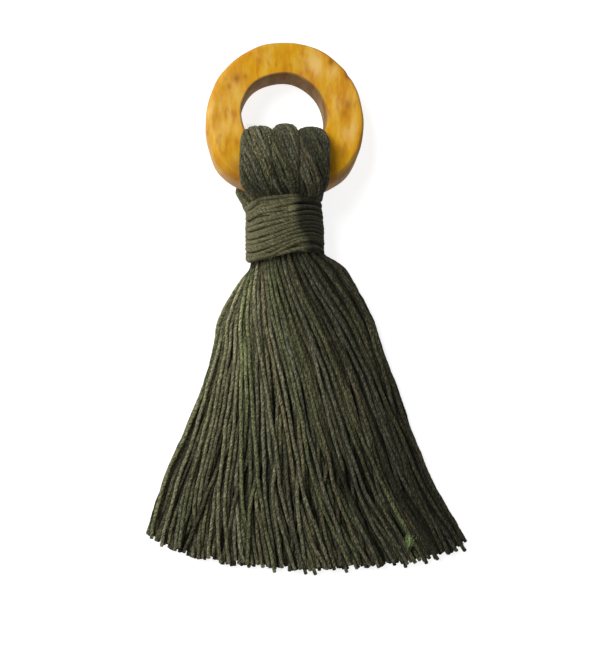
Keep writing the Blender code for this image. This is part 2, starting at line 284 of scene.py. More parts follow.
def to_world(points):
    """Layout millimetres to metres in the row frame."""
    return (np.asarray(points) + SHIFT) * MM


def clamp(values):
    return np.clip(values, 0, 1)


def smooth_rows(rows, steps):
    """Catmull-Rom rows between the rows of a table, all columns together."""
    table = np.array(rows, dtype=float)
    padded = np.vstack([2 * table[0] - table[1], table, 2 * table[-1] - table[-2]])
    t = (np.arange(steps) / steps)[:, None]
    out = []
    for i in range(1, len(padded) - 2):
        p0, p1, p2, p3 = padded[i - 1:i + 3]
        out.append(0.5 * (2 * p1 + (p2 - p0) * t + (2 * p0 - 5 * p1 + 4 * p2 - p3) * t ** 2
                          + (3 * p1 - p0 - 3 * p2 + p3) * t ** 3))
    return np.vstack(out + [table[-1:]])


def resample(rows, step):
    """Rows at even spacing along a smooth curve; x, y and z come first in each row."""
    fine = smooth_rows(rows, 6)
    run = np.concatenate([[0], np.cumsum(np.linalg.norm(np.diff(fine[:, :3], axis=0), axis=1))])
    count = max(3, int(round(run[-1] / step)) + 1)
    at = np.linspace(0, run[-1], count)
    return np.stack([np.interp(at, run, column) for column in fine.T], axis=1), at


def slow_noise(count, length, waves, rng):
    """Smooth random curves in -1 to 1, one a row, with about that many waves along them."""
    t = np.linspace(0, 1, length)[None, :]
    total = np.zeros((count, length))
    for k, weight in NOISE_WAVES:
        phase = rng.uniform(0, TURN, (count, 1))
        rate = waves * k * rng.uniform(0.8, 1.2, (count, 1))
        total += weight * np.sin(TURN * rate * t + phase)
    return total / sum(weight for _, weight in NOISE_WAVES)


def add_attribute(mesh, name, values):
    """One number or one vector for each point of a mesh, for its material to read."""
    values = np.asarray(values)
    kind, field = ("FLOAT", "value") if values.ndim == 1 else ("FLOAT_VECTOR", "vector")
    attribute = mesh.attributes.new(name, kind, "POINT")
    attribute.data.foreach_set(field, values.astype(np.float32).ravel())


def add_object(name, data):
    made = bpy.data.objects.new(name, data)
    bpy.context.scene.collection.objects.link(made)
    return made


def add_piece(mesh, material, node):
    """Puts a finished mesh in the scene as a piece that stands for a CAD node."""
    mesh.validate()
    mesh.shade_smooth()
    mesh.materials.append(material)
    piece = add_object(mesh.name, mesh)
    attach(piece, BODY)
    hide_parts(node)


# ---- strands

Strand = namedtuple("Strand", "points run radii dye")


def carried_frames(points):
    """Tangent and two normals at each point, carried along without turning."""
    tangents = np.gradient(points, axis=0)
    tangents /= np.linalg.norm(tangents, axis=1)[:, None]
    first = np.cross(tangents[0], (0.0, 0.0, 1.0))
    normal = first / np.linalg.norm(first)
    normals = np.empty_like(points)
    for i, tangent in enumerate(tangents):
        normal = normal - tangent * normal.dot(tangent)
        normal /= sqrt(normal.dot(normal))
        normals[i] = normal
    return tangents, normals, np.cross(tangents, normals)


def strand_faces(rings, sides, head, tail):
    """The quads round a strand and the triangles that close its two ends."""
    base = (np.arange(rings - 1) * sides)[:, None]
    i = np.arange(sides)[None, :]
    j = (np.arange(sides) + 1)[None, :] % sides
    quads = np.stack([base + i, base + j, base + sides + j, base + sides + i], axis=-1).reshape(-1, 4)
    last = (rings - 1) * sides
    tris = np.vstack([
        np.stack([np.full(sides, head), j[0], i[0]], axis=1),
        np.stack([np.full(sides, tail), last + i[0], last + j[0]], axis=1)])
    return quads, tris


def strand_arrays(strand, ply_pitch):
    """Vertices, quads, triangles and per-vertex values of one plied strand, ends closed."""
    points, run, sides = strand.points, strand.run, YARN_SIDES
    tangents, normals, sides_way = carried_frames(points)
    angles = TURN * np.arange(sides) / sides
    turn = TURN * run / ply_pitch
    order = np.concatenate([[0, 0], np.arange(len(points)), [-1, -1]]).astype(int)
    shrink = np.concatenate([END_RADII, np.ones(len(points)), END_RADII[::-1]])
    push = np.concatenate([-END_REACH, np.zeros(len(points)), END_REACH[::-1]])
    radii = strand.radii[order] * shrink
    centres = points[order] + tangents[order] * (push * strand.radii[order])[:, None]
    local = angles[None, :] - turn[order][:, None]
    reach = radii[:, None] * (1 + PLY_DEPTH * np.cos(PLIES * local))
    ring = (np.cos(angles)[None, :, None] * normals[order][:, None, :]
            + np.sin(angles)[None, :, None] * sides_way[order][:, None, :])
    verts = (centres[:, None, :] + reach[:, :, None] * ring).reshape(-1, 3)
    tips = [centres[0] - tangents[0] * END_TIP * radii[0], centres[-1] + tangents[-1] * END_TIP * radii[-1]]
    verts = np.vstack([verts, tips])
    quads, tris = strand_faces(len(order), sides, len(verts) - 2, len(verts) - 1)
    along = np.repeat(run[order], sides)
    fibre = np.stack([along, (reach * np.cos(local)).ravel(), (reach * np.sin(local)).ravel()], axis=1)
    fibre = np.vstack([fibre, [[run[0], 0, 0], [run[-1], 0, 0]]])
    dye = np.vstack([np.repeat(strand.dye[order], sides, axis=0), strand.dye[:1], strand.dye[-1:]])
    return verts, quads, tris, fibre, dye


def strands_mesh(name, strands, ply_pitch=YARN_PLY_PITCH):
    """One mesh of many strands, with the values their material reads."""
    parts = [strand_arrays(strand, ply_pitch) for strand in strands]
    starts = np.cumsum([0] + [len(p[0]) for p in parts[:-1]])
    verts = np.vstack([p[0] for p in parts])
    quads = np.vstack([p[1] + start for p, start in zip(parts, starts)])
    tris = np.vstack([p[2] + start for p, start in zip(parts, starts)])
    mesh = bpy.data.meshes.new(name)
    mesh.vertices.add(len(verts))
    mesh.vertices.foreach_set("co", to_world(verts).astype(np.float32).ravel())
    loops = np.concatenate([quads.ravel(), tris.ravel()]).astype(np.int32)
    mesh.loops.add(len(loops))
    mesh.loops.foreach_set("vertex_index", loops)
    sizes = np.concatenate([np.full(len(quads), 4), np.full(len(tris), 3)])
    mesh.polygons.add(len(sizes))
    mesh.polygons.foreach_set("loop_start", np.concatenate([[0], np.cumsum(sizes)[:-1]]).astype(np.int32))
    fibres = [p[3] + (PATTERN_OFFSET * k, 0.0, 0.0) for k, p in enumerate(parts)]
    add_attribute(mesh, "fibre", np.vstack(fibres))
    # each point's yarn colour, painted shade included
    add_attribute(mesh, "dye", np.vstack([p[4] for p in parts]))
    mesh.update(calc_edges=True)
    return mesh


# ---- materials

class Nodes:
    """Short calls for building one material. An input is a constant or another node's output."""

    def __init__(self, name):
        self.material = bpy.data.materials.new(name)
        self.material.use_nodes = True
        self.tree = self.material.node_tree

    def feed(self, node, inputs):
        for key, value in inputs.items():
            if isinstance(value, bpy.types.NodeSocket):
                self.tree.links.new(value, node.inputs[key])
            else:
                node.inputs[key].default_value = value

    def add(self, kind, inputs, **settings):
        node = self.tree.nodes.new(kind)
        for key, value in settings.items():
            setattr(node, key, value)
        self.feed(node, inputs)
        return node.outputs

    def attribute(self, name, output="Fac"):
        return self.add("ShaderNodeAttribute", {}, attribute_name=name)[output]

    def noise(self, vector, stretch, detail, roughness, scale=1.0):
        place = self.add("ShaderNodeMapping", {"Vector": vector, "Scale": stretch})["Vector"]
        inputs = {"Vector": place, "Scale": scale, "Detail": detail, "Roughness": roughness}
        return self.add("ShaderNodeTexNoise", inputs)["Fac"]

    def ramp(self, value, stops):
        output = self.add("ShaderNodeValToRGB", {"Fac": value})["Color"]
        elements = output.node.color_ramp.elements
        while len(elements) < len(stops):
            elements.new(0.5)
        for element, (place, colour) in zip(elements, stops):
            element.position = place
            element.color = (*colour, 1.0)
        return output

    def grey_ramp(self, value, stops):
        return self.ramp(value, [(place, (grey,) * 3) for place, grey in stops])

    def math(self, operation, a, b=0.0):
        return self.add("ShaderNodeMath", {0: a, 1: b}, operation=operation)["Value"]

    def times(self, a, b):
        return self.math("MULTIPLY", a, b)

    def plus(self, a, b):
        return self.math("ADD", a, b)

    def mix(self, factor, a, b, blend="MIX"):
        inputs = {0: factor, 6: a, 7: (*b, 1.0) if isinstance(b, tuple) else b}
        return self.add("ShaderNodeMix", inputs, data_type="RGBA", blend_type=blend)[2]

    def bump(self, height, distance, strength):
        inputs = {"Height": height, "Distance": distance, "Strength": strength}
        return self.add("ShaderNodeBump", inputs)["Normal"]

    def finish(self, **inputs):
        shader = self.tree.nodes["Principled BSDF"]
        self.feed(shader, {key.replace("_", " "): value for key, value in inputs.items()})
        return self.material


def yarn_material(name, ply_shade, contrast):
    """Dyed cotton: the colour of each yarn, with painted shade between its plies, mottled with flecks of
    colour and painted fibre glints, with fine fibres.
    """
    n = Nodes(name)
    fibre = n.attribute("fibre", "Vector")
    # the yarn colour with its painted shade
    dye = n.attribute("dye", "Vector")
    place = n.add("ShaderNodeSeparateXYZ", {"Vector": fibre})
    around = n.math("ARCTAN2", place["Z"], place["Y"])
    loose = n.noise(fibre, (0.55, 0.3, 0.3), 2.0, 0.6)
    twist = n.plus(n.times(around, float(PLIES)), n.times(loose, 9.0))
    ply = n.math("COSINE", twist)
    groove = n.times(n.math("SUBTRACT", 1.0, ply), 0.5)
    fibres = n.noise(fibre, (0.9, 7.0, 7.0), 3.0, 0.65)
    speck = n.noise(fibre, (1.4, 3.0, 3.0), 3.0, 0.62)
    # the bright end of this ramp is painted fibre glints, the rest mottled colour
    light = n.ramp(speck, [(0.36, (0.28, 0.28, 0.28)), (0.50, (0.86, 0.86, 0.86)), (0.62, (2.4, 2.4, 2.25))])
    lines = n.grey_ramp(fibres, [(0.30, 0.50), (0.62, 1.35)])
    # painted shade in the grooves between the plies
    depth = n.grey_ramp(groove, [(0.25, 1.10), (0.95, ply_shade)])
    colour = n.mix(contrast, dye, light, "MULTIPLY")
    colour = n.mix(1.0, colour, lines, "MULTIPLY")
    colour = n.mix(1.0, colour, depth, "MULTIPLY")
    relief = n.math("SUBTRACT", fibres, n.times(groove, 0.35))
    relief = n.plus(relief, speck)
    normal = n.bump(relief, 0.00022, 0.8)
    return n.finish(Base_Color=colour, Roughness=0.95, Normal=normal, Specular_IOR_Level=0.12,
                    Sheen_Weight=0.10, Sheen_Roughness=0.5, Sheen_Tint=(0.75, 0.74, 0.6, 1.0))


def wood_material():
    """Yellow varnish over wood: grain along y, cream and orange blotches, unvarnished darker walls; on the
    outer wall this also paints shade on the right and light on the left.
    """
    n = Nodes("ring_wood")
    place = n.add("ShaderNodeTexCoord", {})["Object"]
    # unvarnished wood, with painted shade and light on the outer wall
    bare_and_shade = n.attribute("bare_and_shade")
    stain = n.attribute("stain")
    worn = n.attribute("worn")
    grain = n.noise(place, (1100, 120, 300), 4.0, 0.6)
    streak = n.noise(place, (320, 110, 140), 3.0, 0.55)
    blotch = n.noise(place, (130, 75, 100), 3.0, 0.6)
    fleck = n.noise(place, (420, 130, 260), 2.0, 0.5, 1.3)
    value = n.plus(n.times(streak, 0.5), n.times(blotch, 0.5))
    varnish = n.ramp(value, [(0.34, (0.58, 0.22, 0.004)), (0.45, (0.67, 0.31, 0.004)),
                             (0.56, (0.74, 0.39, 0.008)), (0.70, (0.80, 0.52, 0.08))])
    wood = n.ramp(value, [(0.35, (0.13, 0.070, 0.032)), (0.65, (0.27, 0.16, 0.080))])
    colour = n.mix(bare_and_shade, varnish, wood)
    fine = n.ramp(grain, [(0.32, (0.88, 0.82, 0.68)), (0.62, (1.0, 1.0, 1.0))])
    colour = n.mix(0.75, colour, fine, "MULTIPLY")
    dark = n.grey_ramp(fleck, [(0.57, 0.0), (0.72, 1.0)])
    colour = n.mix(n.times(dark, 0.70), colour, (0.46, 0.15, 0.005))
    pale = n.times(worn, n.grey_ramp(streak, [(0.40, 0.2), (0.60, 1.0)]))
    colour = n.mix(pale, colour, (0.84, 0.60, 0.24))
    colour = n.mix(stain, colour, (0.26, 0.075, 0.006))
    normal = n.bump(grain, 0.00010, 0.5)
    rough = n.plus(n.times(bare_and_shade, 0.35), 0.42)
    return n.finish(Base_Color=colour, Roughness=rough, Normal=normal, Specular_IOR_Level=0.14)


def floor_material():
    """A matt pale surface that gives off some light, so that it comes out near white."""
    n = Nodes("floor")
    place = n.add("ShaderNodeTexCoord", {})["Object"]
    tone = n.noise(place, (3, 3, 3), 2.0, 0.5)
    colour = n.grey_ramp(tone, [(0.0, 0.43), (1.0, 0.47)])
    normal = n.bump(tone, 0.0001, 0.1)
    return n.finish(Base_Color=colour, Roughness=0.9, Normal=normal, Specular_IOR_Level=0.1,
                    Emission_Color=(1.0, 1.0, 1.0, 1.0), Emission_Strength=0.82)


# ---- the loops over the ring

def clear_of_ring(points, clearance, soft=2.4):
    """Points moved out of the hoop until they are just clear of it."""
    local = (points - RING_CENTRE) @ RING_LEAN
    reach = np.hypot(local[:, 0], local[:, 1])
    offset = reach - (RING_RADIUS + RING_HOLE_RADIUS) / 2
    beside = np.abs(offset) - ((RING_RADIUS - RING_HOLE_RADIUS) / 2 + clearance - soft)
    above = np.abs(local[:, 2]) - (RING_THICKNESS / 2 + clearance - soft)
    corner = (beside > 0) & (above > 0)
    length = np.where(corner, np.hypot(beside, above), 1.0)
    step_r = np.where(corner, beside * (soft - length) / length, np.where(beside > above, soft - beside, 0))
    step_z = np.where(corner, above * (soft - length) / length, np.where(beside > above, 0, soft - above))
    inside = step_r + step_z > 0
    step_r, step_z = np.where(inside, step_r, 0), np.where(inside, step_z, 0)
    moved = reach + step_r * np.sign(offset)
    local[:, :2] *= (moved / reach)[:, None]
    local[:, 2] += step_z * np.sign(local[:, 2])
    return local @ RING_LEAN.T + RING_CENTRE


def disc_places():
    """Where the yarns of a hank sit in its round section, ring by ring from the outside."""
    places = []
    for ring in LOOP_RINGS:
        for k in range(ring.yarns):
            angle = TURN * (k + ring.start) / ring.yarns
            places.append((ring.reach * cos(angle), ring.reach * sin(angle)))
    return np.array(places)


def hank_sides(hank, station):
    """The inner and outer side of a hank at a station, leaning with the ring."""
    lean = -hank.centre * tan(RING_ROLL)
    free = min(1.0, 2 * station.fullness)
    inner = np.array([0, station.inner_y, station.inner_z + lean * free * min(1, station.inner_z / 6)])
    outer = np.array([0, station.outer_y, station.outer_z + lean * free * min(1, station.outer_z / 6)])
    outer[1] += hank.reach * max(0, (station.outer_y - 20) / 12)
    inner[1] += hank.setback * min(1, max(0, (station.inner_y - 18) / 3.5))
    return inner, outer


def back_leg_fullness(hank, station):
    """The back leg narrows into the neck, and only the left one stands out beside it."""
    taper = BACK_LEG_NECK
    if station.inner_y > 4:
        taper = min(BACK_LEG_TOP, BACK_LEG_FOOT + BACK_LEG_SLOPE * station.inner_y)
    return taper if hank.wide_back else min(station.fullness, taper * NARROW_BACK)


def loop_routes(hank, rng):
    """Each yarn's way over the bar, twisting with its neighbours, from front neck to back."""
    stations = [Station(*row) for row in smooth_rows(LOOP, 2)]
    places = disc_places()
    phase = np.arctan2(places[:, 1], places[:, 0])
    depth = np.hypot(places[:, 0], places[:, 1])
    sway = slow_noise(len(places), len(stations), 2.0, rng) * LOOP_SWAY
    routes = np.empty((len(stations), len(places), 3))
    run, last = 0.0, None
    for k, station in enumerate(stations):
        inner, outer = hank_sides(hank, station)
        in_back_leg = k > len(stations) * BACK_LEG_FROM
        fullness = back_leg_fullness(hank, station) if in_back_leg else station.fullness
        centre = (inner + outer) / 2
        centre[0] = hank.neck_centre + (hank.centre - hank.neck_centre) * fullness
        run += 0.0 if last is None else np.linalg.norm(centre - last)
        last = centre
        half_width = (hank.neck_width + (hank.width - hank.neck_width) * fullness) / 2 - YARN_RADIUS
        through = (outer - inner) / 2
        half_depth = np.linalg.norm(through)
        through = through / half_depth * (half_depth - YARN_RADIUS)
        turn = phase + sway[:, k] + TURN * run / LOOP_TWIST_PITCH
        oval = np.abs(np.cos(turn)) ** LOOP_SQUARENESS + np.abs(np.sin(turn)) ** LOOP_SQUARENESS
        reach = depth / oval ** (1 / LOOP_SQUARENESS)
        x = reach * np.cos(turn) * half_width
        out = reach * np.sin(turn)
        routes[k] = centre + x[:, None] * (1, 0, 0) + out[:, None] * through
        routes[k] = clear_of_ring(routes[k], YARN_RADIUS + RING_CLEARANCE)
        routes[k, :, 2] = np.maximum(routes[k, :, 2], YARN_RADIUS)
    return routes


# ---- the neck

def neck_places():
    """Every end's place in the bound neck: the innermost points of a close packing."""
    points = np.array([((c + 0.5 * (r % 2)) * NECK_PITCH, r * NECK_PITCH * sqrt(3) / 2)
                       for r in range(-NECK_ROWS, NECK_ROWS + 1)
                       for c in range(-NECK_COLUMNS, NECK_COLUMNS + 1)])
    size = (points[:, 0] / NECK_OVAL[0]) ** 2 + (points[:, 1] / NECK_OVAL[1]) ** 2
    keep = np.argsort(size, kind="stable")[:2 * YARNS_PER_HANK * len(HANKS)]
    return points[keep] + (0.0, NECK_HEIGHT)


def share_out(points):
    """Groups of neck places: [hank][front or back], each group from its top down."""
    groups = []
    for third in np.array_split(points[np.argsort(points[:, 0], kind="stable")], len(HANKS)):
        by_height = third[np.argsort(-third[:, 1], kind="stable")]
        groups.append([by_height[:YARNS_PER_HANK], by_height[YARNS_PER_HANK:]])
    return groups


def match(ends, places):
    """For each end the index of a place, pairing them off nearest first."""
    gaps = np.linalg.norm(ends[:, None, :] - places[None, :, :], axis=2)
    chosen = np.full(len(ends), -1)
    for _ in range(len(ends)):
        i, j = np.unravel_index(np.argmin(gaps), gaps.shape)
        chosen[i] = j
        gaps[i, :] = np.inf
        gaps[:, j] = np.inf
    return chosen


def held_in_binding(rows):
    """Points kept under the cord's inner turns where the binding holds the front of the neck."""
    x, y, above = rows[:, 0], rows[:, 1], rows[:, 2] - NECK_HEIGHT
    room = 1 + 0.35 * np.clip(y - 8.2, 0, None) + 0.35 * np.clip(-8.4 - y, 0, None)
    reach = np.hypot(x / NECK_HALF[0], above / NECK_HALF[1])
    scale = np.where((reach > room) & (above > 0), room / np.maximum(reach, 1e-6), 1.0)
    return np.column_stack([x * scale, y, NECK_HEIGHT + above * scale, rows[:, 3:]])


# ---- the skirt

def skirt_columns(y):
    """The table's columns at any distance down."""
    table = smooth_rows(SPREAD, 5)
    order = np.argsort(table[:, 0])
    return [np.interp(y, table[order, 0], table[order, k]) for k in range(1, 5)]


def local_rank(order_by, values, reach):
    """Where each value stands, 0 to 1, among its neighbours in the given order."""
    order = np.argsort(order_by, kind="stable")
    rank = np.empty(len(values))
    for i, item in enumerate(order):
        window = values[order[max(0, i - reach):i + reach + 1]]
        rank[item] = (np.sum(window < values[item]) + 0.5 * np.sum(window == values[item])) / len(window)
    return rank


def places_in_bundle(neck):
    """Each end's place across the bound bundle and in its depth, both 0 to 1."""
    width = np.clip(neck[:, 0] / NECK_REACH[0], -0.999, 0.999)
    across = 0.5 + (width * np.sqrt(1 - width ** 2) + np.arcsin(width)) / pi
    half_depth = NECK_REACH[1] * np.sqrt(1 - width ** 2)
    return across, clamp(0.5 + (neck[:, 1] - NECK_HEIGHT) / (2 * half_depth))


def places_at_hem(across, depth, rng):
    """Where each end comes out at the hem. A few strays lie across the others."""
    count = len(across)
    order = across + ROLL_OVER * (depth - 0.5) + rng.normal(0, 0.02, count)
    hem_across = (np.argsort(np.argsort(order)) + 0.5) / count
    hem_across = np.clip(hem_across + rng.normal(0, 0.006, count), *HEM_PLACES)
    hem_depth = local_rank(order, depth + rng.normal(0, 0.06, count), 9)
    strays = rng.random(count) < STRAY_SHARE
    hem_across = np.clip(hem_across + np.where(strays, rng.normal(0, 0.014, count), 0), *HEM_PLACES)
    return hem_across, np.where(strays, 1.0, hem_depth)


def fan_across(place, down, left, right):
    """Ends spread from side to side: most run straight, and the outermost follow the outline."""
    cone = clamp((CONE_TOP - down) / (CONE_TOP - CONE_FOOT))[:, None]
    foot_left, foot_right = (column[0] for column in skirt_columns(np.array([CONE_FOOT]))[:2])
    cone_left = np.where(cone < 1, -CONE_HALF + (foot_left + CONE_HALF) * cone, left)
    cone_right = np.where(cone < 1, CONE_HALF + (foot_right - CONE_HALF) * cone, right)
    x = cone_left + YARN_RADIUS + (cone_right - cone_left - 2 * YARN_RADIUS) * place
    return x + ((right - cone_right) * place ** 9 + (left - cone_left) * (1 - place) ** 7)


def open_partings(x, place, depths, progress):
    """Moves the upper yarns aside at each parting, more towards the hem."""
    for parting in PARTINGS:
        opening = clamp((progress - parting.opens) / (1 - parting.opens)) ** 1.2
        side = (place - parting.across) / PARTING_REACH
        x += parting.half_width * opening * np.sign(side) * np.exp(-np.abs(side)) * (depths > 0.5)


def pull_to_outline(x, progress, left, right):
    """Widens each section to the outline. Near the neck only the outer yarns flare."""
    spread = (x - x.min(axis=1, keepdims=True)) / np.ptp(x, axis=1, keepdims=True)
    outer_only = 1 + 5 * clamp(1 - progress / 0.45)
    onset = clamp(progress / 0.03)
    to_right = (right - YARN_RADIUS - x.max(axis=1, keepdims=True)) * spread ** outer_only
    to_left = (left + YARN_RADIUS - x.min(axis=1, keepdims=True)) * (1 - spread) ** outer_only
    x += (to_right + to_left) * onset


def hem_bow(place):
    """How far the hem hangs below its corners at each place across it."""
    inward = HEM_EDGE + (1 - 2 * HEM_EDGE) * place
    rounded = (4 * inward * (1 - inward)) ** HEM_ROUNDNESS
    at_edge = (4 * HEM_EDGE * (1 - HEM_EDGE)) ** HEM_ROUNDNESS
    bow = SKIRT_BOW * (rounded - at_edge) / (1 - at_edge) + SKIRT_SLANT * (place - 0.5)
    return bow + RIGHT_CORNER * place ** 6


def skirt_routes(neck, rng):
    """Every end from the binding to the hem: fanned, pushed apart, laid down and bowed."""
    count = len(neck)
    down = np.linspace(SPREAD[0].y, SPREAD[-1].y, SKIRT_LEVELS)
    left, right, crown, slide = (column[:, None] for column in skirt_columns(down))
    progress = clamp((CONE_TOP - down) / (HEM + CONE_TOP))[:, None]
    across, depth = places_in_bundle(neck)
    hem_across, hem_depth = places_at_hem(across, depth, rng)
    place = across + (hem_across - across) * progress ** 0.58
    depths = depth + (hem_depth - depth) * progress ** 0.7
    x = fan_across(place, down, left, right)
    open_partings(x, place, depths, progress)
    x += slow_noise(count, SKIRT_LEVELS, 1.7, rng).T * 0.45 * progress ** 0.5
    x += slow_noise(count, SKIRT_LEVELS, 5.0, rng).T * 0.12 * progress ** 0.5
    edge = 4 * place * (1 - place)
    height = (crown - 2 * YARN_RADIUS) * clamp(0.35 + 0.65 * np.sqrt(edge))
    z = YARN_RADIUS + height * depths
    z += slow_noise(count, SKIRT_LEVELS, 2.3, rng).T * 0.35 * progress ** 0.5
    bound = (1 - clamp((SPREAD[0].y - down) / TURN_OUT))[:, None]
    x = x + (neck[None, :, 0] - x) * bound
    z = z + (neck[None, :, 1] - z) * bound
    loosened = clamp((SPREAD[0].y - down) / SETTLE)[:, None]
    pitch = NECK_PITCH + (SKIRT_PITCH - NECK_PITCH) * loosened + (HEM_PITCH - SKIRT_PITCH) * progress
    x, z = relax(x, z, pitch)
    for _ in range(STRAIGHTENING):
        x[1:-1] += 0.5 * ((x[:-2] + x[2:]) / 2 - x[1:-1])
        close_gaps(x)
    pull_to_outline(x, progress, left, right)
    close_gaps(x)
    place = clamp((x - left - YARN_RADIUS) / (right - left - 2 * YARN_RADIUS))
    y = down[:, None] - hem_bow(place) * progress ** 1.3
    y -= slide * FOOT_SLIDE * clamp(1 - 2 * place) ** 2
    return np.stack([x, y, z, lit_share(x, z)], axis=2), hem_across


def relax(x, z, spacing):
    """Pushes neighbours in each section apart, lays them down, and closes gaps right through."""
    target_x, target_z = x.copy(), z.copy()
    itself = np.eye(x.shape[1], dtype=bool)[None]
    near = spacing[:, :, None]
    for round_number in range(RELAX_ROUNDS):
        hold = 0.04 if round_number < RELAX_ROUNDS * 0.7 else 0.015
        x += (target_x - x) * hold
        z += (target_z - z) * hold * 0.5 - 0.012
        for values, target in ((x, target_x), (z, target_z)):
            moved = values - target
            values[1:-1] += 0.35 * ((moved[:-2] + moved[2:]) / 2 - moved[1:-1])
        gap_x = x[:, :, None] - x[:, None, :]
        gap_z = z[:, :, None] - z[:, None, :]
        length = np.sqrt(gap_x ** 2 + gap_z ** 2) + 1e-6
        push = np.where((length < near) & ~itself, 0.42 * (near - length) / length, 0.0)
        x += (push * gap_x).sum(axis=2)
        z += (push * gap_z).sum(axis=2)
        close_gaps(x)
        x[0], z[0] = target_x[0], target_z[0]
        np.maximum(z, YARN_RADIUS, out=z)
    return x, z


def close_gaps(x):
    """Moves yarns together wherever the surface below would show between them."""
    levels = np.arange(len(x))[:, None]
    order = np.argsort(x, axis=1, kind="stable")
    excess = np.clip(np.diff(x[levels, order], axis=1) - WIDEST_GAP * YARN_RADIUS, 0, None) / 2
    shift = np.zeros_like(x)
    shift[levels, order[:, :-1]] += excess
    shift[levels, order[:, 1:]] -= excess
    x += shift


def lit_share(x, z):
    """How open each point is to the light above or below it, 1 where nothing covers it."""
    aside = np.abs(x[:, :, None] - x[:, None, :]) / (2 * YARN_RADIUS)
    over = clamp(1.25 - aside)
    rise = (z[:, None, :] - z[:, :, None]) / YARN_RADIUS
    above = (over * clamp(rise - 0.4)).sum(axis=2)
    below = (over * clamp(-rise - 0.4)).sum(axis=2)
    return np.exp(-2.2 * np.minimum(above, below))


# ---- whole yarns

def trimmed(route, longer, rng):
    """The route with its cut end a little short or long."""
    end = route[-1, :3] - route[-2, :3]
    end /= np.linalg.norm(end)
    change = rng.uniform(-1.9, 0.1)
    if rng.random() < STRAY_SHARE:
        change += rng.uniform(0.4, 1.4)
    out = route.copy()
    out[-1, :3] += end * (change + longer)
    return out


def yarn_radii(points):
    """Full outside the binding, squeezed inside it, and fuller over the bar."""
    y = points[:, 1]
    outside = clamp(np.maximum((y - 7.5) / 4.0, (-8.0 - y) / 5.0))
    swollen = 1 + LOOP_SWELL * clamp((y - 9.0) / 4.0)
    return YARN_RADIUS * (SQUEEZE + (1 - SQUEEZE) * outside) * swollen


def wander(points, rng):
    """The small waves that a relaxed yarn keeps along its length."""
    count = len(points)
    out = points.copy()
    for size, wavelength in YARN_WAVES:
        waves = count * YARN_STEP / wavelength / 1.5
        out += size * slow_noise(3, count, waves, rng).T * (1.0, 0.3, 0.6)
    out[:, 2] = np.maximum(out[:, 2], YARN_RADIUS)
    return out


def half_dye_and_shade(hem_place, rng):
    """One half's colour: olive pulled towards one of the other dyed colours, with painted shade making it
    darker to the right.
    """
    dye = DYES[rng.choice(len(DYES), p=DYE_SHARES)]
    colour = OLIVE + (dye - OLIVE) * rng.uniform(0.1, 1.0)
    return colour * rng.uniform(0.82, 1.18) * (1 - (1 - RIGHT_SHADE) * hem_place ** 1.5)


def in_hollows(points, hem_place):
    """The share of light that reaches each point of a yarn, by the hollow it lies in."""
    light = np.ones(len(points))
    for hollow in HOLLOWS:
        near = exp(-((hem_place - hollow.across) / hollow.spread) ** 2)
        light *= 1 - hollow.shade * near * clamp((hollow.top - points[:, 1]) / HOLLOW_FADE)
    return light[:, None]


def pale_stain(points):
    """How much of the pale green each point has taken up, beside the tuft at the hem."""
    gap = np.abs(points[:, 0] - TUFT[0] + (points[:, 1] - TUFT[1]) * 0.42)
    above = points[:, 1] - TUFT[1]
    on_top = points[:, 2] > TUFT[2] - 2.0
    return STAIN * np.exp(-(gap / 0.9) ** 2) * np.exp(-np.clip(above, 0, None) / 26) * on_top


def yarn_dye_and_shade(points, run, lit, hem, rng):
    """A yarn's colour at each point: its halves differ, and painted shade makes it darker where little light
    comes.
    """
    front, back = [half_dye_and_shade(place, rng) for place in hem]
    mixed = clamp((run / run[-1] - 0.45) / 0.1)[:, None]
    dye = front * (1 - mixed) + (front + back) / 2 * mixed
    dye = dye * (1 + DYE_VARIES * slow_noise(1, len(points), 7, rng).T)
    stain = pale_stain(points)[:, None]
    dye = dye * (1 - stain) + PALE_GREEN * stain
    # painted shade where other yarn covers this one
    dye *= HIDDEN_SHADE + (1 - HIDDEN_SHADE) * lit
    in_front = run < run[-1] / 2
    for part, place in ((in_front, hem[0]), (~in_front, hem[1])):
        dye[part] *= in_hollows(points[part], place)
    y = points[:, 1:2]
    dye *= 1 - (1 - LOOP_SHADE) * clamp((y + 8) / 8)
    dye *= 1 + UPPER_LIGHT * np.clip((y - LIGHT_MIDDLE) / LIGHT_SPAN, -0.5, 1)
    return dye


def whole_yarn(over_bar, ends, hem, rng):
    """One yarn from cut end to cut end, with its waves, uneven radius and dye."""
    rows, run = resample(np.vstack([ends[0][::-1], over_bar, ends[1]]), YARN_STEP)
    rows = held_in_binding(rows)
    points = wander(rows[:, :3], rng)
    varying = slow_noise(1, len(points), len(points) / UNEVEN_LENGTH, rng)[0]
    dye = yarn_dye_and_shade(points, run, clamp(rows[:, 3:]), hem, rng)
    return Strand(points, run, yarn_radii(points) * (1 + YARN_UNEVEN * varying), dye)


